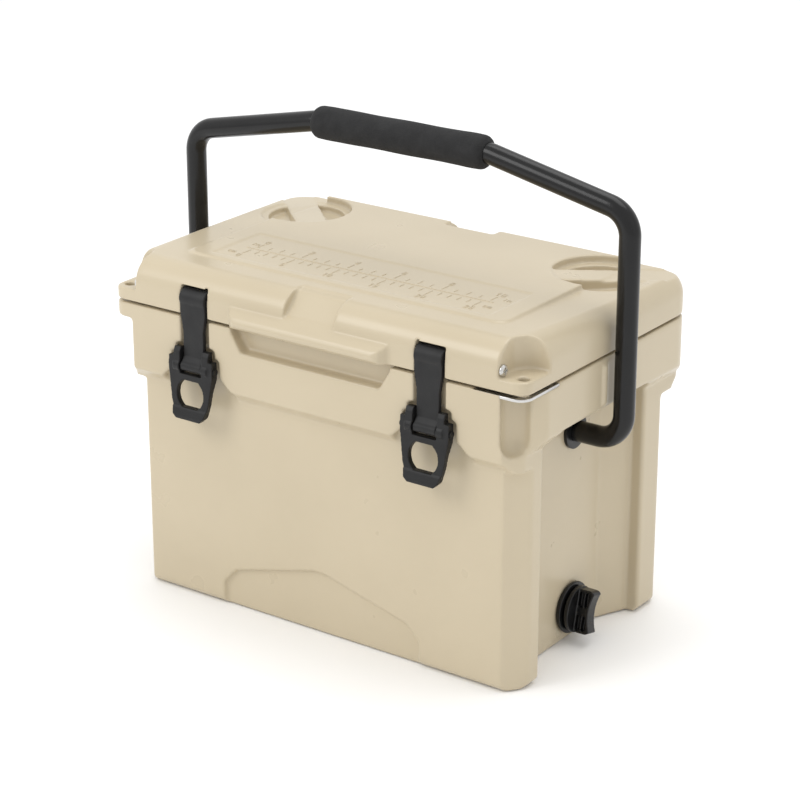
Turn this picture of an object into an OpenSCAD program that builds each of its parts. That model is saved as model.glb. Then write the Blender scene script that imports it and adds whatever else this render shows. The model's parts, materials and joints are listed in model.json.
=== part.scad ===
// Insulated cooler chest: rotomoulded body and lid, bail handle, two strap latches, drain.
// Millimetres, +Z up. X runs along the length, -Y is the front. Z = 0 is the plane under the feet.

/* [Overall] */
// Length over the rim of the body and lid
chest_l = 444; // [440:1:450]
// Depth over the rim of the body and lid
chest_d = 276; // [272:1:280]
// Height of the flat top of the lid above the floor
chest_h = 322; // [320:1:328]
// Height of the top of the body rim
rim_z = 278.5; // [277.5:0.5:279]
// Gap between the body rim and the lid
part_gap = 2.5; // [2:0.5:3]
// Moulded skin thickness
skin = 4; // [3:0.5:5]

/* [Storage cavity] */
// Length of the cavity
cav_l = 314; // [300:2:316]
// Depth of the cavity, front to back
cav_d = 198; // [180:2:200]
// Height of the cavity floor
cav_z = 34; // [32:1:50]

/* [Side pockets] */
// Distance of the pocket floor from the centre
pocket_x = 185; // [183:1:187]
// Front edge of the pocket
pocket_y0 = -90; // [-92:1:-86]
// Back edge of the pocket
pocket_y1 = 77; // [74:1:80]
// Underside of the rim above the pocket
pocket_z = 233; // [230:1:236]

/* [Lid] */
// Radius of the rolled top edge of the lid
lid_r = 24; // [20:1:25]
// Height of the raised top panel
panel_h = 1.4; // [1:0.1:2]
// Radius of the cup recess at the top
cup_r = 43; // [40:1:44]
// Depth of the cup recess
cup_h = 12; // [9:0.5:13]
// Depth of the plug under the lid
plug_h = 14; // [10:1:18]

/* [Bail handle] */
// Tube diameter
tube_d = 19; // [18:0.5:20]
// Wall of the tube
tube_wall = 1.8; // [1.2:0.1:2.5]
// Height of the pivot axis
pivot_z = 201; // [199:1:203]
// Distance of the arm centre line from the centre
arm_x = 235; // [234:1:240]
// Height of the centre line of the grip
grip_z = 435; // [430:1:450]
// Height of the upper corner of the arms
corner_z = 405.5; // [402:1:412]
// Length of the foam grip
grip_l = 189; // [180:1:200]
// Diameter of the foam grip
grip_d = 30; // [28:1:34]

/* [Latches] */
// Distance of each latch from the centre
latch_x = 127; // [124:1:130]
// Strap width at the lid
strap_w = 28; // [26:1:29]
// Strap width at the tab
strap_w2 = 23; // [20:1:24]
// Strap thickness
strap_t = 4.6; // [4:0.2:5]

/* [Drain] */
// Height of the drain axis
drain_z = 31; // [29:1:33]
// Radius of the drain flange
drain_r = 24; // [22:1:27]
// Bore radius of the drain
drain_bore = 6; // [5:0.5:6.5]

/* [Node] */
// Which piece to build

/* [Hidden] */
$fn = 64;

hx = chest_l / 2;
hy = chest_d / 2;
lid_z = rim_z + part_gap;
base_z = 1;                 // underside of the moulding, the feet stand 1 mm proud
low_y = hy - 11;            // front and back wall below the rim band
low_x = 211;                // outer face of the corner columns
chamf_x = 195;              // where the corner chamfer meets the front wall
chamf_y = 106;              // where it meets the column face
band_z = 218;               // lower edge of the rim band at its face
ear_t = 11.5;               // lid ear thickness
ear_x = 212;
ear_y = -124.5;
hinge_y = hy + 4;           // hinge axis
hinge_z = rim_z - 6;
knuckle_r = 8;
hinge_x = 110;
pin_y = -131;               // latch screw axis in the lid
pin_z = 298;
bar_y = -141;             // T-bar axis at the foot of the strap
bar_z = 234.5;
cup_x = 163;
cup_y = 74;
shell = [0.80, 0.74, 0.58];
black = [0.09, 0.09, 0.09];
steel = [0.75, 0.75, 0.76];
foam_c = [0.93, 0.90, 0.78];

// ---------- helpers ----------
module rrect(ax, ay, r) {
    square([2 * ax, 2 * (ay - r)], center = true);
    square([2 * (ax - r), 2 * ay], center = true);
    for (sx = [-1, 1], sy = [-1, 1]) translate([sx * (ax - r), sy * (ay - r)]) circle(r);
}

module slab(z0, z1) { translate([0, 0, z0]) linear_extrude(z1 - z0) children(); }

// a profile drawn in Y, Z and run along X between x0 and x1
module along_x(x0, x1) {
    translate([x0, 0, 0]) rotate([90, 0, 90]) linear_extrude(x1 - x0) children();
}

// a profile drawn in X, Z and run along Y between y0 and y1
module along_y(y0, y1) {
    translate([0, y1, 0]) rotate([90, 0, 0]) linear_extrude(y1 - y0) children();
}

module rod_x(x0, x1, y, z, r) { translate([x0, y, z]) rotate([0, 90, 0]) cylinder(r = r, h = x1 - x0); }

module sides() { for (s = [-1, 1]) mirror([s < 0 ? 1 : 0, 0, 0]) children(); }

// plan of the walls below the rim band, drawn in by i
module low_plan(i) {
    polygon([[-chamf_x + i / 2, -low_y + i], [chamf_x - i / 2, -low_y + i],
             [low_x - i, -chamf_y + i / 2], [low_x - i, chamf_y - i / 2],
             [chamf_x - i / 2, low_y - i], [-chamf_x + i / 2, low_y - i],
             [-low_x + i, chamf_y - i / 2], [-low_x + i, -chamf_y + i / 2]]);
}

// plan of the rim band: rounded at the back, chamfered at the front corners
module rim_plan(i) {
    difference() {
        rrect(hx - i, hy - i, 25 - i);
        for (s = [-1, 1])
            polygon([[s * (200 - i / 2), -hy - 5], [s * (hx + 5), -hy - 5],
                     [s * (hx + 5), -101 + i / 2], [s * (hx - i), -101 + i / 2],
                     [s * (200 - i / 2), -hy + i]]);
    }
}

// front-to-back section of the body, drawn in by i
module body_section(i) {
    polygon([[-low_y + 5 + i, base_z + i], [low_y - 5 - i, base_z + i], [low_y - i, base_z + 5 + i],
             [low_y - i, band_z - 10], [hy - i, band_z + i / 2], [hy - i, rim_z - i],
             [-hy + i, rim_z - i], [-hy + i, band_z + i / 2], [-low_y + i, band_z - 10],
             [-low_y + i, base_z + 5 + i]]);
}

// side pocket on the right, opened by i on every face
module pocket(i) {
    difference() {
        along_x(pocket_x - i, low_x + 20)
            union() {
                translate([pocket_y0 - i, -5])
                    square([pocket_y1 - pocket_y0 + 2 * i, pocket_z - 18 + 5 + i]);
                translate([pocket_y0 + 18, 0])
                    square([pocket_y1 - pocket_y0 - 36, pocket_z + i]);
                for (y = [pocket_y0 + 18, pocket_y1 - 18])
                    translate([y, pocket_z - 18]) circle(18 + i);
            }
        // sloped rear part of the pocket floor
        slab(-10, pocket_z + 30)
            polygon([[pocket_x - i - 10, 46 + i], [pocket_x - i, 46 + i],
                     [pocket_x + 13 - i, pocket_y1 - 3 + i], [pocket_x + 13 - i, pocket_y1 + 20],
                     [pocket_x - i - 10, pocket_y1 + 20]]);
    }
}

module body_outer() {
    intersection() {
        union() {
            slab(base_z, pocket_z + 4) low_plan(0);
            slab(band_z - 12, rim_z) rim_plan(0);
        }
        along_x(-hx - 1, hx + 1) body_section(0);
        along_y(-hy - 1, hy + 1)
            polygon([[-low_x + 5, base_z], [low_x - 5, base_z], [low_x, base_z + 5],
                     [low_x, pocket_z - 12], [hx, pocket_z], [hx, rim_z], [-hx, rim_z],
                     [-hx, pocket_z], [-low_x, pocket_z - 12], [-low_x, base_z + 5]]);
    }
}

module cavity(i) {
    slab(cav_z - i, rim_z + 5) rrect(cav_l / 2 + i, cav_d / 2 + i, 22 + i);
    // sump that leads to the drain
    translate([cav_l / 2 - 34 - i, -15 - i, drain_z - 12 - i])
        cube([34 + 2 * i, 30 + 2 * i, 22 + i]);
}

// notches in the back of the rim that the lid knuckles swing in
module knuckle_notch(g) {
    for (s = [-1, 1]) {
        rod_x(s * hinge_x - 21.5 - g, s * hinge_x + 21.5 + g, hinge_y, hinge_z, knuckle_r + 1.8 + g);
        translate([s * hinge_x - 21.5 - g, hinge_y - knuckle_r - 1.8 - g, hinge_z])
            cube([43 + 2 * g, 30, 30]);
    }
}

// recess for the fingers under the pull lip of the lid
module finger_pocket(i) {
    along_y(-hy - 1, -hy + 12 + i)
        polygon([[-86 - i, rim_z + 5], [-86 - i, rim_z - 3], [-75 - i, rim_z - 21 - i],
                 [75 + i, rim_z - 21 - i], [86 + i, rim_z - 3], [86 + i, rim_z + 5]]);
}

// space between the skins, shrunk by g so that the foam block sits inside it
module body_void(g) {
    i = skin + g;
    difference() {
        intersection() {
            union() {
                slab(base_z + i, pocket_z + 2) low_plan(i);
                slab(band_z - 4, rim_z - i) rim_plan(i);
            }
            along_x(-hx, hx) body_section(i);
            along_y(-hy, hy)
                polygon([[-low_x + 5 + i, base_z + i], [low_x - 5 - i, base_z + i],
                         [low_x - i, base_z + 5 + i], [low_x - i, pocket_z - 10], [hx - i, pocket_z + i],
                         [hx - i, rim_z], [-hx + i, rim_z], [-hx + i, pocket_z + i],
                         [-low_x + i, pocket_z - 10], [-low_x + i, base_z + 5 + i]]);
        }
        sides() pocket(i);
        cavity(i);
        finger_pocket(i);
        knuckle_notch(i - 1.5);
        gasket_groove(i);
        // solid posts: front corners, handle pivots, drain and foam port
        for (s = [-1, 1]) {
            translate([s * 206, -hy + 16, 180]) cylinder(r = 30 + g, h = 110);
            rod_x(s > 0 ? 150 : -190, s > 0 ? 190 : -150, 0, pivot_z, 19 + g);
        }
        rod_x(150, 190, 0, drain_z, 15 + g);
        // solid rim inside the left ear
        slab(rim_z - 18, rim_z + 1)
            polygon([[-176 + g, -hy - 1], [-hx - 1, -hy - 1], [-hx - 1, -80 + g], [-202, -80 + g],
                     [-176 + g, -96 + g]]);
        translate([0, 60, 0]) cylinder(r = 18 + g, h = cav_z);
        // recesses of the front wall
        panel_recess(i);
        latch_relief(i);
        for (s = [-1, 1], t = [-1, 1])
            translate([s * foot_x, t * foot_y, 0]) cylinder(r = foot_r + 3 + g, h = 8 + g);
    }
}
foot_x = 165;
foot_y = 95;
foot_r = 15;

// shallow raised-arch panel low on the front wall
module panel_recess(i) {
    along_y(-low_y - 5, -low_y + 4.5 + i)
        polygon([[-109 - i, -5], [-109 - i, 24], [-95 - i, 38.5 + i], [-6, 61.5 + i], [6, 61.5 + i],
                 [95 + i, 38.5 + i], [109 + i, 24], [109 + i, -5]]);
}

// relief in the rim band behind each latch: outline of the tab, and a groove for the strap
module latch_relief(i) {
    for (s = [-1, 1]) translate([s * latch_x, 0, 0]) {
        along_y(-hy - 1, -low_y + i)
            polygon([[-43.5 - i, band_z - 22], [-38.5 - i, band_z], [-26.9 - i, band_z + 10],
                     [-26.9 - i, bar_z + 10.5 + i], [-21.9 - i, bar_z + 10.5 + i],
                     [-21.9 - i, bar_z + 19 + i], [21.9 + i, bar_z + 19 + i],
                     [21.9 + i, bar_z + 10.5 + i], [26.9 + i, bar_z + 10.5 + i],
                     [26.9 + i, band_z + 10], [38.5 + i, band_z], [43.5 + i, band_z - 22]]);
        translate([-strap_w / 2 - 1.8 - i, -hy - 1, bar_z + 15])
            cube([strap_w + 3.6 + 2 * i, 7.5 + i, rim_z - bar_z]);
    }
}

module gasket_groove(i) {
    slab(rim_z - 2 - i, rim_z + 5)
        difference() {
            rrect(cav_l / 2 + 15 + i, cav_d / 2 + 15 + i, 30);
            if (i == 0) rrect(cav_l / 2 + 8, cav_d / 2 + 8, 24);
        }
}

// ---------- body ----------
module body_shell() {
    color(shell) difference() {
        union() {
            difference() {
                body_outer();
                sides() pocket(0);
                body_void(0);
            }
            // left ear of the rim, plan of the lid ear above it
            intersection() {
                slab(rim_z - 14, rim_z) ear_plan(-1);
                along_y(-hy, -60)
                    polygon([[-hx, rim_z], [-hx, rim_z - 9], [-hx + 5, rim_z - 14], [0, rim_z - 14], [0, rim_z]]);
            }
            // hinge knuckles of the body
            for (s = [-1, 1], t = [-1, 1])
                translate([s * hinge_x + t * 31 - 9, 0, 0]) along_x(0, 18)
                    union() {
                        translate([hinge_y, hinge_z]) circle(knuckle_r);
                        polygon([[hy - 3, hinge_z - 22], [hy, hinge_z - 22], [hinge_y + knuckle_r, hinge_z],
                                 [hinge_y, hinge_z + 6], [hy - 3, rim_z]]);
                    }
            // low ridge on the rim beside each handle arm
            for (s = [-1, 1])
                intersection() {
                    translate([s * (hx - 3), -12, pocket_z + 4]) cylinder(r = 5.4, h = rim_z - pocket_z - 10);
                    translate([s * (hx + 1) - 1.4, -20, 0]) cube([2.8, 20, 300]);
                }
        }
        cavity(0);
        finger_pocket(0);
        knuckle_notch(0);
        gasket_groove(0);
        panel_recess(0);
        latch_relief(0);
        // padlock hole of the left ear, and the clearance flute under the right one
        translate([-ear_x, ear_y, rim_z - 30]) cylinder(r = 5, h = 40);
        translate([ear_x - 4, ear_y - 3, band_z + 17]) cylinder(r = 14, h = 60);
        translate([ear_x - 4, ear_y - 3, band_z + 17]) sphere(14);
        // seat of the lock plate and its screws
        slab(rim_z - 3, rim_z + 1) lock_outline(0.2);
        for (p = lock_screw_at) translate([p[0], p[1], rim_z - 16]) cylinder(r = 2, h = 20);
        // handle pivots
        for (s = [-1, 1])
            rod_x(s > 0 ? 166.5 : -190, s > 0 ? 190 : -166.5, 0, pivot_z, 13);
        // drain passage and the flat for its flange
        rod_x(150, 200, 0, drain_z, drain_bore + 2.1);
        // hinge pin bores
        for (s = [-1, 1]) rod_x(s * hinge_x - 41, s * hinge_x + 41, hinge_y, hinge_z, 3);
        // foam port and foot seats
        translate([0, 60, 0]) cylinder(r = 12, h = 20);
        for (s = [-1, 1], t = [-1, 1])
            translate([s * foot_x, t * foot_y, -1]) cylinder(r = foot_r, h = 5);
    }
}

module body_foam() { color(foam_c) body_void(0.05); }

module body_foam_plug() {
    color(shell) translate([0, 60, base_z + 0.5]) cylinder(r = 12, h = 18);
}

// plan of a lid ear at the front corner, s = -1 left, 1 right
module ear_plan(s) {
    intersection() {
        rrect(hx, hy, 12);
        polygon([[s * 180, -hy - 1], [s * (hx + 1), -hy - 1], [s * (hx + 1), -84], [s * 205, -84], [s * 180, -100]]);
    }
}

lock_screw_at = [[186, -112], [206, -96]];
module lock_outline(g) {
    intersection() {
        rrect(hx - 0.6 + g, hy - 0.6 + g, 12);
        polygon([[170 - g, -hy - 1], [hx + 1, -hy - 1], [hx + 1, -84 + g], [196 - g, -84 + g],
                 [170 - g, -100 + g]]);
    }
}

module lock_plate() {
    color(steel) difference() {
        slab(rim_z - 3, rim_z - 0.4) lock_outline(0);
        translate([ear_x, ear_y, rim_z - 10]) cylinder(r = 5, h = 20);
        for (p = lock_screw_at) translate([p[0], p[1], rim_z - 10]) cylinder(r = 2.2, h = 20);
    }
}

module lock_plate_screws() {
    color(steel) for (p = lock_screw_at) translate([p[0], p[1], 0]) difference() {
        union() {
            translate([0, 0, rim_z - 15]) cylinder(r = 1.95, h = 14.6);
            translate([0, 0, rim_z - 0.4]) cylinder(r1 = 4, r2 = 2.6, h = 1.4);
        }
        translate([-2, -0.5, rim_z + 0.3]) cube([4, 1, 3]);
        translate([-0.5, -2, rim_z + 0.3]) cube([1, 4, 3]);
    }
}

// ---------- lid ----------
// upper quarter of a disc, on the side s
module quarter(e, s) {
    intersection() {
        circle(e);
        translate([s < 0 ? -e - 1 : 0, -0.01]) square([e + 1, e + 1]);
    }
}

// box with corner radius r and rolled top edges of radius e
module pillow(ax, ay, r, e, z0, z1) {
    slab(z0, z1 - e) rrect(ax, ay, r);
    slab(z0, z1) rrect(ax - e, ay - e, r - e);
    for (sx = [-1, 1], sy = [-1, 1])
        translate([sx * (ax - r), sy * (ay - r), z1 - e])
            rotate_extrude() {
                intersection() {
                    translate([r - e, 0]) circle(e);
                    translate([r - e, 0]) square(e);
                }
                square([r - e + 0.01, e]);
            }
    for (s = [-1, 1]) {
        along_x(-ax + r, ax - r) translate([s * (ay - e), z1 - e]) quarter(e, s);
        along_y(-ay + r, ay - r) translate([s * (ax - e), z1 - e]) quarter(e, s);
    }
}

// recess for a can or cup, crossed by a sloped saddle that runs out at the corner
module cup_cut() {
    translate([cup_x, cup_y, chest_h]) {
        difference() {
            union() {
                translate([0, 0, -cup_h / 2]) cylinder(r = cup_r, h = 20);
                translate([0, 0, -cup_h]) cylinder(r = cup_r - 7, h = 20);
            }
            rotate([0, 0, 45]) rotate([0, 4, 0]) translate([-60, -15, -30]) cube([120, 30, 27]);
        }
        rotate([0, 0, 45]) rotate([0, 4, 0]) translate([0, -16, -3]) cube([90, 32, 30]);
    }
}

module strap_slot(g) {
    for (s = [-1, 1])
        along_x(s * latch_x - strap_w / 2 - 1.2 - g, s * latch_x + strap_w / 2 + 1.2 + g)
            union() {
                translate([pin_y, pin_z]) circle(11.3 + g);
                polygon([[-hy - 5, pin_z + 8.6 + g], [-hy + 1.5, pin_z + 9.3 + g],
                         [pin_y, pin_z + 10.6 + g], [pin_y + 11.6 + g, pin_z],
                         [pin_y + 11.6 + g, lid_z - 5], [-hy - 5, lid_z - 5]]);
            }
}

// notch above each ear
module ear_notch(g) {
    slab(lid_z + ear_t - g, chest_h + 10)
        for (s = [-1, 1]) {
            translate([s * 222, -hy - 5]) mirror([s < 0 ? 0 : 1, 0]) square([27 + g, 24 + g]);
            translate([s * 230, -hy - 5]) mirror([s < 0 ? 0 : 1, 0]) square([16 + g, 44 + g]);
            translate([s * 214, -hy + 20]) circle(19 + g);
        }
}

module thumb_cuts(g) {
    along_x(-27 - g, 27 + g)
        for (s = [-1, 1])
            polygon([[s * (hy - 30 - g), chest_h + 10], [s * (hy - 30 - g), chest_h - 1 - g], [s * (hy - 22), chest_h - 2.5 - g],
                     [s * (hy - 3), lid_z + 19 - g], [s * (hy + 6), lid_z + 14 - g], [s * (hy + 6), chest_h + 10]]);
}

module pull_lip() {
    intersection() {
        along_x(-90, 90)
            polygon([[-hy + 12, lid_z], [-hy - 5, lid_z], [-hy - 10, lid_z + 4], [-hy - 11, lid_z + 8],
                     [-hy - 9, lid_z + 12], [-hy - 2, lid_z + 17], [-hy + 3, lid_z + 20], [-hy + 12, lid_z + 20]]);
        slab(lid_z, lid_z + 40)
            polygon([[-86, -hy + 12], [-86, -hy], [-80, -hy - 8], [-73, -hy - 12], [73, -hy - 12],
                     [80, -hy - 8], [86, -hy], [86, -hy + 12]]);
    }
}

module ruler() {
    z = chest_h + panel_h - 1.5;
    // half-inch marks over ten inches
    for (k = [0:20])
        translate([-125.4 + k * 12.7 - 0.5, -48, z])
            cube([1, k % 4 == 0 ? 10 : (k % 2 == 0 ? 7.5 : 5.5), 1.2]);
    // centimetre marks over 25 cm
    for (k = [0:25]) {
        l = k % 5 == 0 ? 12 : 7;
        translate([-126.2 + k * 10 - 0.5, -56.8 - l, z]) cube([1, l, 1.2]);
    }
    translate([-134, -52.9, z]) cube([268, 1, 1.2]);
}

module lid_void(g) {
    i = skin + g;
    difference() {
        union() {
            // main space under the cups
            slab(lid_z + i + 1.6, chest_h - cup_h - i - 0.5)
                polygon([[-hx + 13 + i, -86], [-hx + 32 + i, -hy + 20 + i], [hx - 32 - i, -hy + 20 + i],
                         [hx - 13 - i, -86], [hx - 13 - i, hy - 34], [hx - 34, hy - 13 - i],
                         [-hx + 34, hy - 13 - i], [-hx + 13 + i, hy - 34]]);
            // space between the cups, up to the top skin
            slab(lid_z + i + 1.6, chest_h - i - 0.5)
                polygon([[-171 + i, -hy + 24 + i], [171 - i, -hy + 24 + i], [171 - i, cup_y - cup_r - 6 - i],
                         [cup_x - cup_r - i, cup_y - cup_r - i], [cup_x - cup_r - i, hy - 22 - i],
                         [-cup_x + cup_r + i, hy - 22 - i], [-cup_x + cup_r + i, cup_y - cup_r - i],
                         [-171 + i, cup_y - cup_r - 6 - i]]);
            slab(lid_z - plug_h + i, lid_z + i + 2)
                rrect(cav_l / 2 - 7 - i, cav_d / 2 - 7 - i, 14);
        }
        translate([0, 40, lid_z - plug_h - 1]) cylinder(r = 16 + g, h = plug_h + 12);
    }
}

// the shoulder outside the top panel falls a little towards the back corner
module shoulder_cut(i) {
    translate([171 - i, -hy + 45, chest_h - i]) rotate([-1.5, 0, 0]) cube([80, 260, 30]);
}

module gasket_seat(i) {
    slab(lid_z - 5, lid_z + 1.5 + i)
        difference() {
            rrect(cav_l / 2 + 15 + i, cav_d / 2 + 15 + i, 30);
            if (i == 0) rrect(cav_l / 2 + 8, cav_d / 2 + 8, 24);
        }
}

module lid_shell() {
    color(shell) difference() {
        union() {
            difference() {
                union() {
                    pillow(hx, hy, 25, lid_r, lid_z, chest_h);
                    // front corners filled out to the ears
                    for (s = [-1, 1]) slab(lid_z, lid_z + ear_t) ear_plan(s);
                    // raised top panel
                    intersection() {
                        slab(chest_h - 4, chest_h + panel_h)
                            translate([0, 25]) rrect(171, 118.5, 12);
                        slab(0, chest_h + 10) square([400, 2 * (hy - lid_r + 6)], center = true);
                    }
                }
                thumb_cuts(0);
                sides() shoulder_cut(0);
            }
            pull_lip();
            slab(lid_z - plug_h, lid_z + 2) rrect(cav_l / 2 - 7, cav_d / 2 - 7, 18);
            // hinge knuckles of the lid
            for (s = [-1, 1])
                along_x(s * hinge_x - 20.5, s * hinge_x + 20.5)
                    union() {
                        translate([hinge_y, hinge_z]) circle(knuckle_r);
                        polygon([[hinge_y - 7, hinge_z], [hinge_y + knuckle_r, hinge_z], [hinge_y + knuckle_r, lid_z + 6],
                                 [hy - 2, lid_z + 14], [hinge_y - 7, lid_z + 4]]);
                    }
        }
        lid_void(0);
        // shallow bed of the ruler
        translate([-150, -84, chest_h + panel_h - 1]) cube([300, 70, 10]);
        sides() cup_cut();
        strap_slot(0);
        ear_notch(0);
        for (s = [-1, 1]) {
            // padlock holes and the latch screw bores
            translate([s * ear_x, ear_y, lid_z - 1]) cylinder(r = 5, h = 30);
            rod_x(s > 0 ? 98 : -205, s > 0 ? 205 : -98, pin_y, pin_z, 3);
            rod_x(s * hinge_x - 30, s * hinge_x + 30, hinge_y, hinge_z, 3.06);
        }
        gasket_seat(0);
        translate([0, 40, lid_z - plug_h - 1]) cylinder(r = 12, h = 14);
    }
    color(shell) intersection() {
        ruler();
        translate([-140, -80, 0]) cube([280, 62, 400]);
    }
}

module lid_foam() { color(foam_c) lid_void(0.05); }

module lid_foam_plug() {
    color(shell) translate([0, 40, lid_z - plug_h + 0.5]) cylinder(r = 12, h = 12.5);
}

module lid_gasket() {
    color([0.82, 0.82, 0.80]) difference() {
        slab(rim_z + 0.2, lid_z + 1.5) difference() {
            rrect(cav_l / 2 + 14.6, cav_d / 2 + 14.6, 29.6);
            rrect(cav_l / 2 + 8.4, cav_d / 2 + 8.4, 24.4);
        }
    }
}

module hinge_pin(s) {
    color(steel) {
        rod_x(s * hinge_x - 41, s * hinge_x + 41, hinge_y, hinge_z, 3);
        rod_x(s * hinge_x + 40, s * hinge_x + 42, hinge_y, hinge_z, 3.8);
        rod_x(s * hinge_x - 42, s * hinge_x - 40, hinge_y, hinge_z, 3.8);
    }
}
module hinge_pin_left() { hinge_pin(-1); }
module hinge_pin_right() { hinge_pin(1); }

// ---------- latches ----------
module strap_section() {
    translate([pin_y - 1, pin_z - 1.4]) circle(9.2);
    translate([bar_y, bar_z]) circle(4.8);
    polygon([[-140.2, pin_z - 3], [-139.9, pin_z - 12], [-139.9, bar_z + 9], [-143.5, bar_z + 4],
             [bar_y - 4.2, bar_z + 2.2], [bar_y, bar_z], [bar_y + 4.4, bar_z + 1.8],
             [-139.9 + strap_t, bar_z + 7], [-139.9 + strap_t, pin_z - 12], [-128, pin_z - 6],
             [pin_y, pin_z]]);
}

module latch_strap(s) {
    color(black) translate([s * latch_x, 0, 0]) difference() {
        intersection() {
            along_x(-strap_w / 2, strap_w / 2) strap_section();
            along_y(-170, -100)
                polygon([[-strap_w2 / 2, bar_z - 10], [strap_w2 / 2, bar_z - 10], [strap_w2 / 2, pin_z - 30],
                         [strap_w / 2, pin_z - 15], [strap_w / 2, pin_z + 20], [-strap_w / 2, pin_z + 20],
                         [-strap_w / 2, pin_z - 15], [-strap_w2 / 2, pin_z - 30]]);
        }
        rod_x(-30, 30, pin_y, pin_z, 3.06);
        rod_x(-30, 30, bar_y, bar_z, 2.56);
    }
}
module latch_strap_left() { latch_strap(-1); }
module latch_strap_right() { latch_strap(1); }

// long cross-head screw that carries the strap
module latch_screw(s) {
    mirror([s < 0 ? 1 : 0, 0, 0]) color(steel) difference() {
        union() {
            rod_x(99, 195.2, pin_y, pin_z, 3);
            translate([195.1, pin_y, pin_z]) rotate([0, 90, 0]) cylinder(r1 = 5.2, r2 = 5.2, h = 1.6);
            translate([196.7, pin_y, pin_z]) rotate([0, 90, 0]) cylinder(r1 = 5.2, r2 = 3.6, h = 1.6);
        }
        translate([197, pin_y - 3, pin_z - 0.7]) cube([3, 6, 1.4]);
        translate([197, pin_y - 0.7, pin_z - 3]) cube([3, 1.4, 6]);
    }
}
module latch_screw_left() { latch_screw(-1); }
module latch_screw_right() { latch_screw(1); }

module tab_outline() {
    difference() {
        polygon([[-19.8, 17], [-19.8, 9], [-24.8, 9], [-24.8, -5], [-22.9, -18], [-20.8, -32], [-18.6, -40],
                 [-17.6, -44], [-13.5, -48], [13.5, -48], [17.6, -44], [18.6, -40], [20.8, -32],
                 [22.9, -18], [24.8, -5], [24.8, 9], [19.8, 9], [19.8, 17]]);
        // gap for the foot of the strap
        polygon([[-12.4, 18], [-12.4, -6.8], [12.4, -6.8], [12.4, 18]]);
        // finger hole
        intersection() {
            translate([0, -25]) circle(15.2);
            translate([-20, -37.2]) square([40, 24.8]);
        }
    }
}

module latch_tab(s) {
    color(black) translate([s * latch_x, bar_y, bar_z]) difference() {
        union() {
            intersection() {
                along_y(-11, 8) tab_outline();
                along_x(-30, 30)
                    polygon([[3.6, 17], [-1.2, 17], [-3.4, 13], [-4.2, 4], [-4.4, -8], [-5.4, -20],
                             [-6.6, -37], [-8, -38.4], [-10.3, -44.5], [-10.5, -47.5], [-9, -50],
                             [-5, -50], [-1.5, -42], [0.4, -20], [3.6, -9]]);
            }
            // half-round bosses over the T-bar
            for (t = [-1, 1])
                along_x(t > 0 ? 12.4 : -19.3, t > 0 ? 19.3 : -12.4)
                    intersection() {
                        circle(6.2);
                        translate([-8, -8]) square([11.6, 16]);
                    }
        }
        rod_x(-40, 40, 0, 0, 2.5);
    }
}
module latch_tab_left() { latch_tab(-1); }
module latch_tab_right() { latch_tab(1); }

module t_bar(s) {
    color(black) translate([s * latch_x, 0, 0]) {
        rod_x(-25.2, 25.2, bar_y, bar_z, 2.5);
        rod_x(24.9, 25.9, bar_y, bar_z, 3.2);
        rod_x(-25.9, -24.9, bar_y, bar_z, 3.2);
    }
}
module t_bar_left() { t_bar(-1); }
module t_bar_right() { t_bar(1); }

// ---------- bail handle ----------
bend_r = 25;
slope_a = atan((grip_z - corner_z) / (arm_x - grip_l / 2));

module bend(a, r, t) { rotate_extrude(angle = a) translate([r, 0]) circle(t); }

// straight runs reach half a millimetre into the bends, which are drawn a hair thinner
module handle_side(t, x0) {
    tb = t - 0.02;
    rt = tan((90 - slope_a) / 2) * bend_r;
    run = (arm_x - grip_l / 2) / cos(slope_a);
    // pivot stub, lower bend and arm
    rod_x(x0, arm_x - bend_r + 0.5, 0, pivot_z, t);
    translate([arm_x - bend_r, 0, pivot_z + bend_r]) rotate([90, 0, 0]) rotate([0, 0, -90]) bend(90, bend_r, tb);
    translate([arm_x, 0, pivot_z + bend_r - 0.5]) cylinder(r = t, h = corner_z - rt - pivot_z - bend_r + 1);
    // upper bend and the slope to the grip
    translate([arm_x - bend_r, 0, corner_z - rt]) rotate([90, 0, 0]) bend(90 - slope_a, bend_r, tb);
    translate([arm_x, 0, corner_z]) rotate([0, -90 + slope_a, 0]) translate([0, 0, rt - 0.5])
        cylinder(r = t, h = run - rt + 0.5);
    translate([grip_l / 2, 0, grip_z]) sphere(t + 0.03);
}

module handle_tube() {
    g = grip_l / 2;
    color(black) difference() {
        union() {
            sides() handle_side(tube_d / 2, 169);
            rod_x(-g, g, 0, grip_z, tube_d / 2);
        }
        // bore, open at both pivot ends
        sides() handle_side(tube_d / 2 - tube_wall, 168);
        rod_x(-g, g, 0, grip_z, tube_d / 2 - tube_wall);
    }
}

module handle_grip() {
    h = grip_l / 2 - 2;
    color(black) difference() {
        union() {
            rod_x(-h + 5, h - 5, 0, grip_z, grip_d / 2);
            for (s = [-1, 1]) translate([s * (h - 5), 0, grip_z]) rotate([0, s * 90, 0])
                rotate_extrude() {
                    square([grip_d / 2 - 5, 5]);
                    intersection() {
                        translate([grip_d / 2 - 5, 0]) circle(5);
                        translate([grip_d / 2 - 5, 0]) square(5);
                    }
                }
        }
        rod_x(-h - 5, h + 5, 0, grip_z, tube_d / 2 + 0.05);
    }
}

module handle_bushing(s) {
    mirror([s < 0 ? 1 : 0, 0, 0]) color(black) difference() {
        union() {
            rod_x(166.5, pocket_x + 1, 0, pivot_z, 13);
            rod_x(pocket_x, pocket_x + 3, 0, pivot_z, 16.5);
        }
        rod_x(168.8, 200, 0, pivot_z, tube_d / 2 + 0.08);
    }
}
module handle_bushing_left() { handle_bushing(-1); }
module handle_bushing_right() { handle_bushing(1); }

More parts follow.
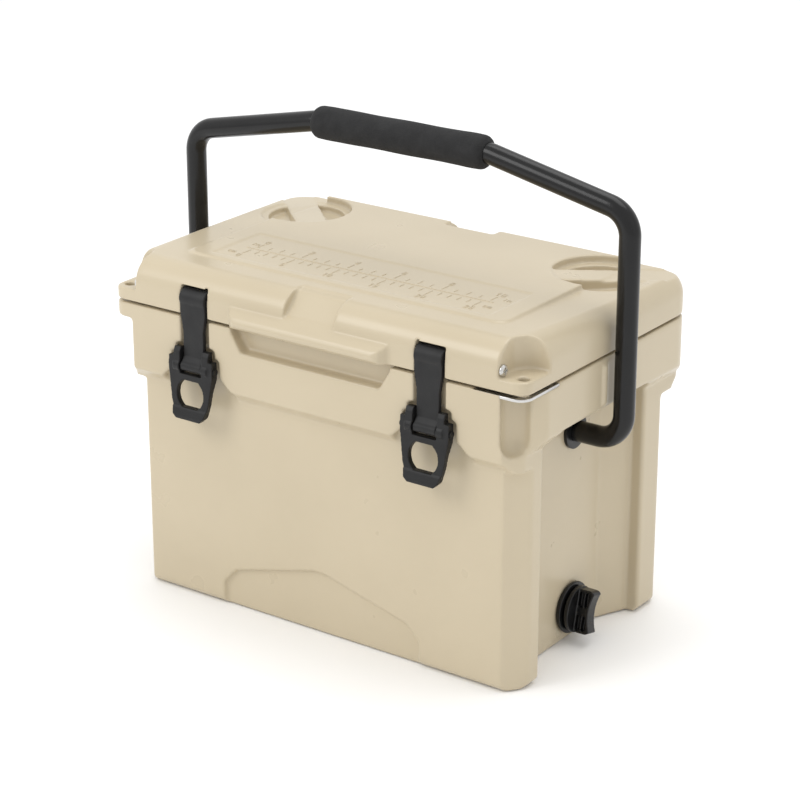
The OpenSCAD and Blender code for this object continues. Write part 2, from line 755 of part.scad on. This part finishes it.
// ---------- drain ----------
module drain_fitting() {
    color(black) difference() {
        union() {
            rod_x(pocket_x + 1.5, pocket_x + 5, 0, drain_z, drain_r);
            rod_x(151, pocket_x + 2, 0, drain_z, drain_bore + 2);
            rod_x(pocket_x + 5, pocket_x + 7, 0, drain_z, 14);
        }
        rod_x(140, 200, 0, drain_z, drain_bore);
    }
}

module drain_washer() {
    color(black) difference() {
        rod_x(pocket_x, pocket_x + 1.5, 0, drain_z, drain_r - 2);
        rod_x(140, 200, 0, drain_z, drain_bore + 2);
    }
}

module drain_nut() {
    color(black) difference() {
        translate([cav_l / 2 - 5, 0, drain_z]) rotate([0, 90, 0]) rotate([0, 0, 30])
            cylinder(r = 11.4, h = 5, $fn = 6);
        rod_x(140, 200, 0, drain_z, drain_bore + 2);
    }
}

module drain_plug() {
    x0 = pocket_x + 7.4;
    color(black) difference() {
        union() {
            rod_x(165, x0 + 1, 0, drain_z, drain_bore - 0.08);
            rod_x(x0, x0 + 4, 0, drain_z, drain_r - 2.5);
            // winged grip, waisted on its outer edge
            translate([0, 0, drain_z]) rotate([-14, 0, 0]) difference() {
                along_y(-6.5, 6.5) difference() {
                    translate([x0 + 10.6, 0]) rrect(10, 20, 6);
                    translate([x0 + 61, 0]) circle(45);
                }
                // pockets on both sides of the wings, parted by a rib
                for (t = [0, 1], v = [0, 1])
                    mirror([0, t, 0]) mirror([0, 0, v]) along_y(2, 8) {
                        polygon([[x0 + 5, 4], [x0 + 9.4, 4], [x0 + 9.4, 17.5], [x0 + 5, 17.5]]);
                        polygon([[x0 + 11, 4], [x0 + 13.2, 4], [x0 + 15.6, 14], [x0 + 14.6, 17.5],
                                 [x0 + 11, 17.5]]);
                    }
            }
        }
        // hollow stem and seal groove
        rod_x(160, x0 + 2, 0, drain_z, drain_bore - 2.5);
        rod_x(171, 173, 0, drain_z, drain_bore + 1);
    }
    // bottom of the seal groove
    color(black) difference() {
        rod_x(170.9, 173.1, 0, drain_z, drain_bore - 1.1);
        rod_x(170, 174, 0, drain_z, drain_bore - 2.5);
    }
}

module drain_plug_seal() {
    color([0.15, 0.15, 0.15]) difference() {
        rod_x(171.1, 172.9, 0, drain_z, drain_bore - 0.06);
        rod_x(165, 180, 0, drain_z, drain_bore - 1.1);
    }
}

// ---------- feet ----------
module foot(s, t) {
    color(black) translate([s * foot_x, t * foot_y, 0]) {
        cylinder(r = foot_r - 1, h = 1);
        translate([0, 0, 1]) cylinder(r = foot_r, h = 3);
    }
}
module foot_front_left() { foot(-1, -1); }
module foot_front_right() { foot(1, -1); }
module foot_back_left() { foot(-1, 1); }
module foot_back_right() { foot(1, 1); }

body_shell();
body_foam();
body_foam_plug();
lid_shell();
lid_foam();
lid_foam_plug();
lid_gasket();
hinge_pin_left();
hinge_pin_right();
latch_strap_left();
latch_strap_right();
latch_screw_left();
latch_screw_right();
latch_tab_left();
latch_tab_right();
t_bar_left();
t_bar_right();
lock_plate();
lock_plate_screws();
handle_tube();
handle_grip();
handle_bushing_left();
handle_bushing_right();
drain_fitting();
drain_washer();
drain_nut();
drain_plug();
drain_plug_seal();
foot_front_left();
foot_front_right();
foot_back_left();
foot_back_right();
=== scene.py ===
import json
import math

import bmesh
import bpy
from mathutils import Matrix, Vector


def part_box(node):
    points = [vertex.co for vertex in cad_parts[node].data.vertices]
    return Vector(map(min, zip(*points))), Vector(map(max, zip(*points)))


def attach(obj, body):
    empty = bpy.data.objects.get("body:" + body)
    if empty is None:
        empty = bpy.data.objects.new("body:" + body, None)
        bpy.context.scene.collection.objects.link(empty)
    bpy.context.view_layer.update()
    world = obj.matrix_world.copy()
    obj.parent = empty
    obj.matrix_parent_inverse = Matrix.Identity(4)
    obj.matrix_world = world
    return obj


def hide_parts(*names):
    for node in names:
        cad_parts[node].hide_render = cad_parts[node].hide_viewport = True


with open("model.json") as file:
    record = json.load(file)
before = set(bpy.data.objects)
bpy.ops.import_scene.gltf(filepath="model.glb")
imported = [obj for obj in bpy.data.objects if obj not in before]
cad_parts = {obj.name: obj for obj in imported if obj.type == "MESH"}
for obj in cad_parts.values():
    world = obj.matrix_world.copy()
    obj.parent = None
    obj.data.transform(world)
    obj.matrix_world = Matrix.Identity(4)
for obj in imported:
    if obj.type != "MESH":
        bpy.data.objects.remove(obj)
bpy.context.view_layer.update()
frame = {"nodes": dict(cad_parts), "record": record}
NODES = frame["nodes"]
SLOT = {p["node"]: p["material_slot"] for p in frame["record"]["subparts"]}
BODY = {n: b for b, ns in frame["record"]["behaviour"]["bodies"].items() for n in ns}
JOINT = {j["name"]: j for j in frame["record"]["behaviour"]["joints"]}


# ---------- materials ----------
def add(nt, kind, **props):
    n = nt.nodes.new(kind)
    for k, v in props.items():
        setattr(n, k, v)
    return n


def material(name, base, dark, rough, bump, bump_scale, metallic=0.0, coat=0.0, spot=22.0, edge_wear_and_highlight=0.0,
             worn_and_lit_edge_colour=(0.5, 0.5, 0.5), stretch=(1, 1, 1), rough_var=0.06, fine=None, spec=0.5):
    """Principled surface with mottled colour, uneven roughness, a bump and lighter edges, partly wear and partly a
    painted highlight.
    """
    m = bpy.data.materials.new(name)
    m.use_nodes = True
    nt = m.node_tree
    bsdf = nt.nodes["Principled BSDF"]
    tc = add(nt, "ShaderNodeTexCoord")
    mp = add(nt, "ShaderNodeMapping")
    mp.inputs["Scale"].default_value = stretch
    nt.links.new(tc.outputs["Object"], mp.inputs["Vector"])
    n1 = add(nt, "ShaderNodeTexNoise")
    n1.inputs["Scale"].default_value = spot
    n1.inputs["Detail"].default_value = 4.0
    nt.links.new(mp.outputs["Vector"], n1.inputs["Vector"])
    ramp = add(nt, "ShaderNodeValToRGB")
    ramp.color_ramp.elements[0].position = 0.32
    ramp.color_ramp.elements[0].color = (*dark, 1)
    ramp.color_ramp.elements[1].position = 0.68
    ramp.color_ramp.elements[1].color = (*base, 1)
    nt.links.new(n1.outputs["Fac"], ramp.inputs["Fac"])
    colour = ramp.outputs["Color"]
    # edges lightened by pointiness: partly wear, partly a painted highlight standing in for the bright rims where
    # edges catch the light
    if edge_wear_and_highlight:
        geo = add(nt, "ShaderNodeNewGeometry")
        edge = add(nt, "ShaderNodeMapRange")
        edge.inputs["From Min"].default_value = 0.57
        edge.inputs["From Max"].default_value = 0.68
        edge.inputs["To Max"].default_value = edge_wear_and_highlight
        nt.links.new(geo.outputs["Pointiness"], edge.inputs["Value"])
        mix = add(nt, "ShaderNodeMix", data_type="RGBA")
        nt.links.new(edge.outputs["Result"], mix.inputs["Factor"])
        nt.links.new(colour, mix.inputs["A"])
        mix.inputs["B"].default_value = (*worn_and_lit_edge_colour, 1)
        colour = mix.outputs["Result"]
    nt.links.new(colour, bsdf.inputs["Base Color"])
    n2 = add(nt, "ShaderNodeTexNoise")
    n2.inputs["Scale"].default_value = spot * 3
    n2.inputs["Detail"].default_value = 3.0
    nt.links.new(mp.outputs["Vector"], n2.inputs["Vector"])
    mr = add(nt, "ShaderNodeMapRange")
    mr.inputs["To Min"].default_value = max(0.03, rough - rough_var)
    mr.inputs["To Max"].default_value = min(1.0, rough + rough_var)
    nt.links.new(n2.outputs["Fac"], mr.inputs["Value"])
    nt.links.new(mr.outputs["Result"], bsdf.inputs["Roughness"])
    bsdf.inputs["Metallic"].default_value = metallic
    bsdf.inputs["Coat Weight"].default_value = coat
    bsdf.inputs["Specular IOR Level"].default_value = spec
    bsdf.inputs["Coat Roughness"].default_value = 0.12
    n3 = add(nt, "ShaderNodeTexNoise")
    n3.inputs["Scale"].default_value = bump_scale
    n3.inputs["Detail"].default_value = 2.0
    nt.links.new(mp.outputs["Vector"], n3.inputs["Vector"])
    b = add(nt, "ShaderNodeBump")
    b.inputs["Strength"].default_value = bump
    b.inputs["Distance"].default_value = 0.0004
    nt.links.new(n3.outputs["Fac"], b.inputs["Height"])
    normal = b.outputs["Normal"]
    if fine:
        v = add(nt, "ShaderNodeTexVoronoi")
        v.inputs["Scale"].default_value = fine[0]
        nt.links.new(mp.outputs["Vector"], v.inputs["Vector"])
        b2 = add(nt, "ShaderNodeBump")
        b2.inputs["Strength"].default_value = fine[1]
        b2.inputs["Distance"].default_value = 0.0005
        nt.links.new(v.outputs["Distance"], b2.inputs["Height"])
        nt.links.new(normal, b2.inputs["Normal"])
        normal = b2.outputs["Normal"]
    nt.links.new(normal, bsdf.inputs["Normal"])
    return m


MAT = {
    "shell": material("tan_polyethylene", (0.545, 0.466, 0.330), (0.520, 0.443, 0.311), 0.29, 0.10, 420,
                      spot=9, edge_wear_and_highlight=0.22, worn_and_lit_edge_colour=(0.72, 0.64, 0.49), rough_var=0.04),
    "foam": material("insulation_foam", (0.86, 0.80, 0.58), (0.78, 0.70, 0.46), 0.9, 0.6, 260, spot=30,
                     fine=(700, 0.5)),
    "gasket": material("grey_gasket", (0.33, 0.33, 0.32), (0.27, 0.27, 0.265), 0.7, 0.3, 500, spot=40),
    "stainless": material("brushed_stainless", (0.66, 0.655, 0.64), (0.56, 0.555, 0.54), 0.3, 0.25, 160,
                          metallic=1.0, spot=60, stretch=(1, 14, 14), edge_wear_and_highlight=0.3, worn_and_lit_edge_colour=(0.85, 0.85, 0.84)),
    "latch_rubber": material("latch_rubber", (0.017, 0.017, 0.017), (0.011, 0.011, 0.0115), 0.5, 0.35, 900,
                             spot=60, edge_wear_and_highlight=0.25, worn_and_lit_edge_colour=(0.06, 0.06, 0.06), spec=0.3),
    "latch_plastic": material("latch_nylon", (0.012, 0.012, 0.0123), (0.008, 0.008, 0.0083), 0.42, 0.4, 1100,
                              spot=60, edge_wear_and_highlight=0.3, worn_and_lit_edge_colour=(0.06, 0.06, 0.06), spec=0.3),
    "black_plastic": material("black_plastic", (0.007, 0.007, 0.0073), (0.005, 0.005, 0.0052), 0.3, 0.15, 700,
                              spot=50, coat=0.1, edge_wear_and_highlight=0.2, worn_and_lit_edge_colour=(0.04, 0.04, 0.04), spec=0.3),
    "black_rubber": material("black_rubber", (0.030, 0.030, 0.030), (0.020, 0.020, 0.020), 0.75, 0.35, 700,
                             spot=50, edge_wear_and_highlight=0.2, worn_and_lit_edge_colour=(0.07, 0.07, 0.07)),
    "coated_steel": material("black_powder_coat", (0.006, 0.006, 0.0063), (0.004, 0.004, 0.0042), 0.24, 0.12, 900,
                             spot=40, coat=0.1, edge_wear_and_highlight=0.15, worn_and_lit_edge_colour=(0.03, 0.03, 0.03), rough_var=0.04, spec=0.3),
    "grip_foam": material("grip_foam", (0.020, 0.020, 0.0206), (0.012, 0.012, 0.0125), 0.95, 0.5, 600, spot=70,
                          fine=(1100, 0.55)),
}


# ---------- mesh helpers ----------
def set_material(o, slot_name):
    o.data.materials.clear()
    o.data.materials.append(MAT[slot_name])


def link(name, bm):
    me = bpy.data.meshes.new(name)
    bm.to_mesh(me)
    bm.free()
    o = bpy.data.objects.new(name, me)
    bpy.context.scene.collection.objects.link(o)
    return o


def apply_modifiers(o):
    dg = bpy.context.evaluated_depsgraph_get()
    bpy.context.view_layer.update()
    me = bpy.data.meshes.new_from_object(o.evaluated_get(dg))
    o.modifiers.clear()
    old = o.data
    o.data = me
    bpy.data.meshes.remove(old)


def parts_of(bm):
    """The connected pieces of a bmesh, each a list of its faces."""
    seen, found = set(), []
    for f0 in bm.faces:
        if f0.index in seen:
            continue
        seen.add(f0.index)
        stack, piece = [f0], []
        while stack:
            f = stack.pop()
            piece.append(f)
            for e in f.edges:
                for g in e.link_faces:
                    if g.index not in seen:
                        seen.add(g.index)
                        stack.append(g)
        found.append(piece)
    return found


def outer_copy(node):
    """The node's mesh, welded, without the wall of its sealed inner space."""
    bm = bmesh.new()
    bm.from_mesh(NODES[node].data)
    bmesh.ops.remove_doubles(bm, verts=bm.verts, dist=2e-6)
    bm.faces.ensure_lookup_table()
    bm.faces.index_update()
    pieces = parts_of(bm)

    def volume(piece):
        v = 0.0
        for f in piece:
            c = [x.co for x in f.verts]
            for i in range(1, len(c) - 1):
                v += c[0].dot(c[i].cross(c[i + 1])) / 6
        return v

    inner = [f for p in pieces if volume(p) < 0 for f in p]
    if inner:
        bmesh.ops.delete(bm, geom=inner, context="FACES")
    return bm


def moulded(name, node, voxel, smooth, faces, flatten=None):
    """A soft-edged skin of a CAD node: remeshed finely, relaxed, then thinned out again."""
    o = link(name, outer_copy(node))
    r = o.modifiers.new("remesh", "REMESH")
    r.mode = "VOXEL"
    r.voxel_size = voxel
    r.adaptivity = 0.0
    apply_modifiers(o)
    if flatten:
        flatten(o.data)
    s = o.modifiers.new("smooth", "SMOOTH")
    s.factor = 0.5
    s.iterations = smooth
    apply_modifiers(o)
    if len(o.data.polygons) * 2 > faces:
        d = o.modifiers.new("thin", "DECIMATE")
        d.ratio = faces / (len(o.data.polygons) * 2)
        apply_modifiers(o)
    finish_piece(o, node, smooth_all=True)
    return o


def finish_piece(o, node, smooth_all=False, angle=32):
    set_material(o, SLOT[node])
    o.data.polygons.foreach_set("use_smooth", [True] * len(o.data.polygons))
    if not smooth_all:
        o.data.set_sharp_from_angle(angle=math.radians(angle))
    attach(o, BODY[node])
    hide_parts(node)


def bevelled(name, node, width, segments=2, limit=38):
    """A CAD node with its sharp edges broken."""
    o = link(name, outer_copy(node))
    b = o.modifiers.new("bevel", "BEVEL")
    b.width = width
    b.segments = segments
    b.limit_method = "ANGLE"
    b.angle_limit = math.radians(limit)
    b.use_clamp_overlap = True
    b.miter_outer = "MITER_ARC"
    apply_modifiers(o)
    finish_piece(o, node)
    return o


def sweep(name, path, radius, sides=28, caps=True):
    """A tube along a list of points."""
    bm = bmesh.new()
    rings = []
    for i, p in enumerate(path):
        a = path[max(i - 1, 0)]
        b = path[min(i + 1, len(path) - 1)]
        t = (b - a).normalized()
        u = Vector((0, 1, 0))
        v = t.cross(u).normalized()
        r = radius(i) if callable(radius) else radius
        ring = [bm.verts.new(p + (u * math.cos(k * math.tau / sides) + v * math.sin(k * math.tau / sides)) * r)
                for k in range(sides)]
        rings.append(ring)
    for a, b in zip(rings, rings[1:]):
        for k in range(sides):
            bm.faces.new((a[k], a[(k + 1) % sides], b[(k + 1) % sides], b[k]))
    if caps:
        bm.faces.new(list(reversed(rings[0])))
        bm.faces.new(rings[-1])
    bmesh.ops.recalc_face_normals(bm, faces=bm.faces)
    return link(name, bm)


# ---------- the two moulded shells ----------
RULER_BED_DEPTH = 0.001
BED_HALF_X = 0.1475
BED_Y = (-0.0815, -0.0165)


def ruler_bed(me):
    """Levels the ruler's bed: its marks are separate raised pieces below."""
    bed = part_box("lid_shell")[1].z - RULER_BED_DEPTH
    for v in me.vertices:
        if abs(v.co.x) < BED_HALF_X and BED_Y[0] < v.co.y < BED_Y[1] and v.co.z > bed - 0.004:
            v.co.z = bed


SHELL_FACES = 150000
lid = moulded("lid_moulding", "lid_shell", 0.0012, 6, SHELL_FACES, ruler_bed)
body = moulded("body_moulding", "body_shell", 0.0016, 6, SHELL_FACES)

# ---------- ruler marks and digits on the lid ----------
GLYPHS = {
    "0": [[(0.5, 0), (0.12, 0.12), (0, 0.5), (0.12, 0.88), (0.5, 1), (0.88, 0.88), (1, 0.5), (0.88, 0.12),
           (0.5, 0)]],
    "1": [[(0.2, 0.75), (0.55, 1), (0.55, 0)]],
    "2": [[(0.05, 0.78), (0.25, 0.97), (0.7, 0.98), (0.92, 0.76), (0.85, 0.52), (0, 0), (1, 0)]],
    "3": [[(0.05, 0.88), (0.45, 1), (0.88, 0.86), (0.86, 0.6), (0.42, 0.52), (0.9, 0.42), (0.92, 0.14), (0.45, 0),
           (0, 0.12)]],
    "4": [[(0.75, 0), (0.75, 1), (0, 0.3), (1, 0.3)]],
    "5": [[(0.92, 1), (0.15, 1), (0.08, 0.56), (0.55, 0.64), (0.95, 0.42), (0.88, 0.1), (0.45, 0), (0, 0.1)]],
    "6": [[(0.85, 0.94), (0.4, 0.96), (0.06, 0.6), (0.08, 0.18), (0.45, 0), (0.9, 0.12), (0.94, 0.42),
           (0.55, 0.58), (0.1, 0.44)]],
    "7": [[(0, 1), (1, 1), (0.35, 0)]],
    "8": [[(0.5, 0.53), (0.12, 0.7), (0.15, 0.92), (0.5, 1), (0.86, 0.92), (0.88, 0.7), (0.5, 0.53), (0.05, 0.34),
           (0.08, 0.08), (0.5, 0), (0.92, 0.08), (0.95, 0.34), (0.5, 0.53)]],
    "9": [[(0.9, 0.56), (0.45, 0.42), (0.06, 0.58), (0.1, 0.88), (0.55, 1), (0.94, 0.82), (0.94, 0.4), (0.6, 0.04),
           (0.15, 0.06)]],
    "i": [[(0.5, 0), (0.5, 0.62)], [(0.5, 0.9), (0.5, 1)]],
    "n": [[(0, 0), (0, 0.65)], [(0, 0.45), (0.4, 0.65), (0.8, 0.62), (0.95, 0.4), (0.95, 0)]],
    "c": [[(0.95, 0.55), (0.5, 0.66), (0.1, 0.5), (0.05, 0.2), (0.45, 0), (0.95, 0.1)]],
    "m": [[(0, 0), (0, 0.65)], [(0, 0.45), (0.25, 0.65), (0.5, 0.45), (0.5, 0)],
          [(0.5, 0.45), (0.75, 0.65), (1, 0.45), (1, 0)]],
}


def stroke(bm, pts, z, w, h):
    """A raised ridge with sloped sides along a polyline, w wide and h high."""
    for a, b in zip(pts, pts[1:]):
        d = (b - a)
        if d.length < 1e-7:
            continue
        d.normalize()
        n = Vector((-d.y, d.x, 0))
        p, q = a - d * w * 0.35, b + d * w * 0.35
        base = [p - n * w / 2, q - n * w / 2, q + n * w / 2, p + n * w / 2]
        top = [p - n * w * 0.28 + d * w * 0.2, q - n * w * 0.28 - d * w * 0.2,
               q + n * w * 0.28 - d * w * 0.2, p + n * w * 0.28 + d * w * 0.2]
        vb = [bm.verts.new((c.x, c.y, z - 0.0006)) for c in base]
        vt = [bm.verts.new((c.x, c.y, z + h)) for c in top]
        bm.faces.new(vt)
        for i in range(4):
            bm.faces.new((vb[i], vb[(i + 1) % 4], vt[(i + 1) % 4], vt[i]))


MARK_W, DIGIT_W, RELIEF_H = 0.0010, 0.0009, 0.00045


def ruler():
    """The raised marks and digits of the inch and centimetre scales."""
    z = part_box("lid_shell")[1].z - RULER_BED_DEPTH
    bm = bmesh.new()
    mm = 0.001
    for k in range(21):
        x = (-125.4 + k * 12.7) * mm
        y1 = -48 + (10 if k % 4 == 0 else 7.5 if k % 2 == 0 else 5.5)
        stroke(bm, [Vector((x, -0.048, 0)), Vector((x, y1 * mm, 0))], z, MARK_W, RELIEF_H)
    for k in range(26):
        x = (-126.2 + k * 10) * mm
        y0 = -56.8 - (12 if k % 5 == 0 else 7)
        stroke(bm, [Vector((x, y0 * mm, 0)), Vector((x, -0.0568, 0))], z, MARK_W, RELIEF_H)
    stroke(bm, [Vector((-0.134, -0.0524, 0)), Vector((0.134, -0.0524, 0))], z, MARK_W, RELIEF_H)

    def number(text, cx, y, size):
        w = size * 0.58
        gap = size * 0.28
        x = cx - (len(text) * w + (len(text) - 1) * gap) / 2
        for ch in text:
            for line in GLYPHS[ch]:
                pts = [Vector((x + u * w, y + v * size, 0)) for u, v in line]
                stroke(bm, pts, z, DIGIT_W, RELIEF_H)
            x += w + gap

    for k in range(0, 11, 2):
        number(str(k), (-125.4 + k * 25.4) * mm, -0.0355, 0.0065)
    for k in range(0, 26, 5):
        number(str(k), (-126.2 + k * 10) * mm, -0.0775, 0.0060)
    for text, x, y in (("in", -132, -44), ("in", 141, -44), ("cm", -138, -71), ("cm", 136, -67)):
        number(text, x * mm, y * mm, 0.0055)
    bmesh.ops.recalc_face_normals(bm, faces=bm.faces)
    o = link("ruler_relief", bm)
    set_material(o, "shell")
    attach(o, "lid")


ruler()

# ---------- bail: tube and foam grip ----------
glo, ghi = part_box("handle_grip")
tlo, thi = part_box("handle_tube")
pivot = Vector(JOINT["handle_hinge"]["pos_m"])
grip_half = (ghi.x - glo.x) / 2
grip_z = (ghi.z + glo.z) / 2
tube_r = (thi.y - tlo.y) / 2
arm_x = thi.x - tube_r
kink_x = grip_half + 0.002
corner_z = 0.4055
bend = 0.025


def bail_path():
    """Centre line from the left pivot stub to the right one."""
    corners = [Vector((-0.170, 0, pivot.z)), Vector((-arm_x, 0, pivot.z)), Vector((-arm_x, 0, corner_z)),
               Vector((-kink_x, 0, grip_z)), Vector((kink_x, 0, grip_z)), Vector((arm_x, 0, corner_z)),
               Vector((arm_x, 0, pivot.z)), Vector((0.170, 0, pivot.z))]
    radii = [0, bend, bend, 0.03, 0.03, bend, bend, 0]
    path = [corners[0]]
    for i in range(1, len(corners) - 1):
        p, r = corners[i], radii[i]
        a, b = (corners[i - 1] - p).normalized(), (corners[i + 1] - p).normalized()
        half = a.angle(b) / 2
        t = r / math.tan(half)
        c = p + (a + b).normalized() * (r / math.sin(half))
        s, e = p + a * t - c, p + b * t - c
        n = max(4, int(18 * (math.pi - 2 * half) / (math.pi / 2)))
        axis = s.cross(e).normalized()
        total = s.angle(e)
        for k in range(n + 1):
            path.append(c + Matrix.Rotation(total * k / n, 3, axis) @ s)
    path.append(corners[-1])
    out = [path[0]]
    for p in path[1:]:
        gap = (p - out[-1]).length
        steps = max(1, int(gap / 0.012))
        last = out[-1]
        for k in range(1, steps + 1):
            out.append(last.lerp(p, k / steps))
    return out


PATH = bail_path()
tube = sweep("bail_tube", PATH, tube_r, 32)
finish_piece(tube, "handle_tube", angle=50)

mid = [p for p in PATH if p.z > corner_z and abs(p.x) < grip_half + 0.012]
mid.sort(key=lambda p: p.x)
cut = []
GRIP_STEPS = 90
xs = [-grip_half + 2 * grip_half * k / GRIP_STEPS for k in range(GRIP_STEPS + 1)]
for x in xs:
    for a, b in zip(mid, mid[1:]):
        if a.x <= x <= b.x:
            t = (x - a.x) / max(b.x - a.x, 1e-9)
            cut.append(a.lerp(b, t))
            break
grip_r = (ghi.y - glo.y) / 2
ends = 0.0065
x0, x1 = cut[0].x, cut[-1].x


def grip_radius(i):
    d = min(cut[i].x - x0, x1 - cut[i].x)
    k = min(d / ends, 1.0)
    r = grip_r - ends * (1 - math.sqrt(max(0.0, 1 - (1 - k) ** 2)))
    # foam sleeve: slightly uneven, a little fuller next to its ends
    return r + 0.00018 * math.sin(cut[i].x * 95 + 0.7) + 0.00025 * math.exp(-((d - 0.016) / 0.008) ** 2)


grip = sweep("foam_grip", cut, grip_radius, 48)
finish_piece(grip, "handle_grip", angle=60)

# ---------- latches ----------
for side in ("left", "right"):
    moulded("latch_strap_body_" + side, "latch_strap_" + side, 0.0006, 4, 14000)
    moulded("latch_tab_body_" + side, "latch_tab_" + side, 0.0006, 3, 16000)
    bevelled("t_bar_body_" + side, "t_bar_" + side, 0.0009, 3)
    bevelled("latch_screw_body_" + side, "latch_screw_" + side, 0.0003, 2)
    bevelled("hinge_pin_body_" + side, "hinge_pin_" + side, 0.0005, 2)
    bevelled("handle_bushing_body_" + side, "handle_bushing_" + side, 0.0008, 3)

# ---------- lock plate, drain, feet ----------
bevelled("lock_plate_body", "lock_plate", 0.0005, 3)
bevelled("lock_plate_screw_heads", "lock_plate_screws", 0.0002, 2)
bevelled("drain_flange", "drain_fitting", 0.0009, 3)
bevelled("drain_washer_ring", "drain_washer", 0.0003, 2)
bevelled("drain_nut_body", "drain_nut", 0.0004, 2)
moulded("drain_knob", "drain_plug", 0.0006, 4, 22000)
bevelled("drain_seal_ring", "drain_plug_seal", 0.0003, 2)
for node in ("foot_front_left", "foot_front_right", "foot_back_left", "foot_back_right"):
    bevelled(node + "_pad", node, 0.0005, 3)
bevelled("gasket_ring", "lid_gasket", 0.0008, 3)

# the insulation and its plugs stay CAD nodes
for node in ("body_foam", "lid_foam", "body_foam_plug", "lid_foam_plug"):
    o = NODES[node]
    o.data.materials.clear()
    o.data.materials.append(MAT[SLOT[node]])
    if o.hide_render:
        continue
    weld = o.modifiers.new("weld", "WELD")
    weld.merge_threshold = 0.00001

# ---------- floor, light, camera ----------
bm = bmesh.new()
bmesh.ops.create_grid(bm, x_segments=1, y_segments=1, size=6)
floor = link("floor", bm)
fm = bpy.data.materials.new("floor")
fm.use_nodes = True
floor_bsdf = fm.node_tree.nodes["Principled BSDF"]
floor_bsdf.inputs["Base Color"].default_value = (1.0, 1.0, 1.0, 1)
floor_bsdf.inputs["Roughness"].default_value = 0.9
floor.data.materials.append(fm)

world = bpy.data.worlds.new("studio")
bpy.context.scene.world = world
world.use_nodes = True
world.node_tree.nodes["Background"].inputs["Color"].default_value = (1.0, 1.0, 1.0, 1)
world.node_tree.nodes["Background"].inputs["Strength"].default_value = 0.93


def softbox(name, place, target, size, power, colour=(1, 1, 1)):
    d = bpy.data.lights.new(name, "AREA")
    d.shape = "RECTANGLE"
    d.size, d.size_y = size
    d.energy = power
    d.color = colour
    o = bpy.data.objects.new(name, d)
    bpy.context.scene.collection.objects.link(o)
    o.location = place
    o.rotation_euler = (Vector(target) - Vector(place)).to_track_quat("-Z", "Y").to_euler()


softbox("key", (-1.1, -1.9, 1.9), (0, 0, 0.2), (1.3, 1.3), 20)
softbox("top", (0.2, 0.5, 2.2), (0, 0, 0.3), (1.8, 1.2), 14)
softbox("side", (2.1, -0.2, 1.0), (0, 0, 0.2), (1.0, 1.4), 0.6)

cam_data = bpy.data.cameras.new("camera")
cam = bpy.data.objects.new("camera", cam_data)
bpy.context.scene.collection.objects.link(cam)
cam_data.sensor_width = 36
cam_data.lens = 113.3
cam.location = (1.2460, -1.7471, 1.0143)
look = Vector((-0.5421, 0.7595, -0.3596))
cam.rotation_mode = "QUATERNION"
cam.rotation_quaternion = look.to_track_quat("-Z", "Y")
cam_data.clip_start, cam_data.clip_end = 0.1, 50
bpy.context.scene.camera = cam

scene = bpy.context.scene
scene.view_settings.view_transform = "Standard"
scene.view_settings.exposure = 0.0
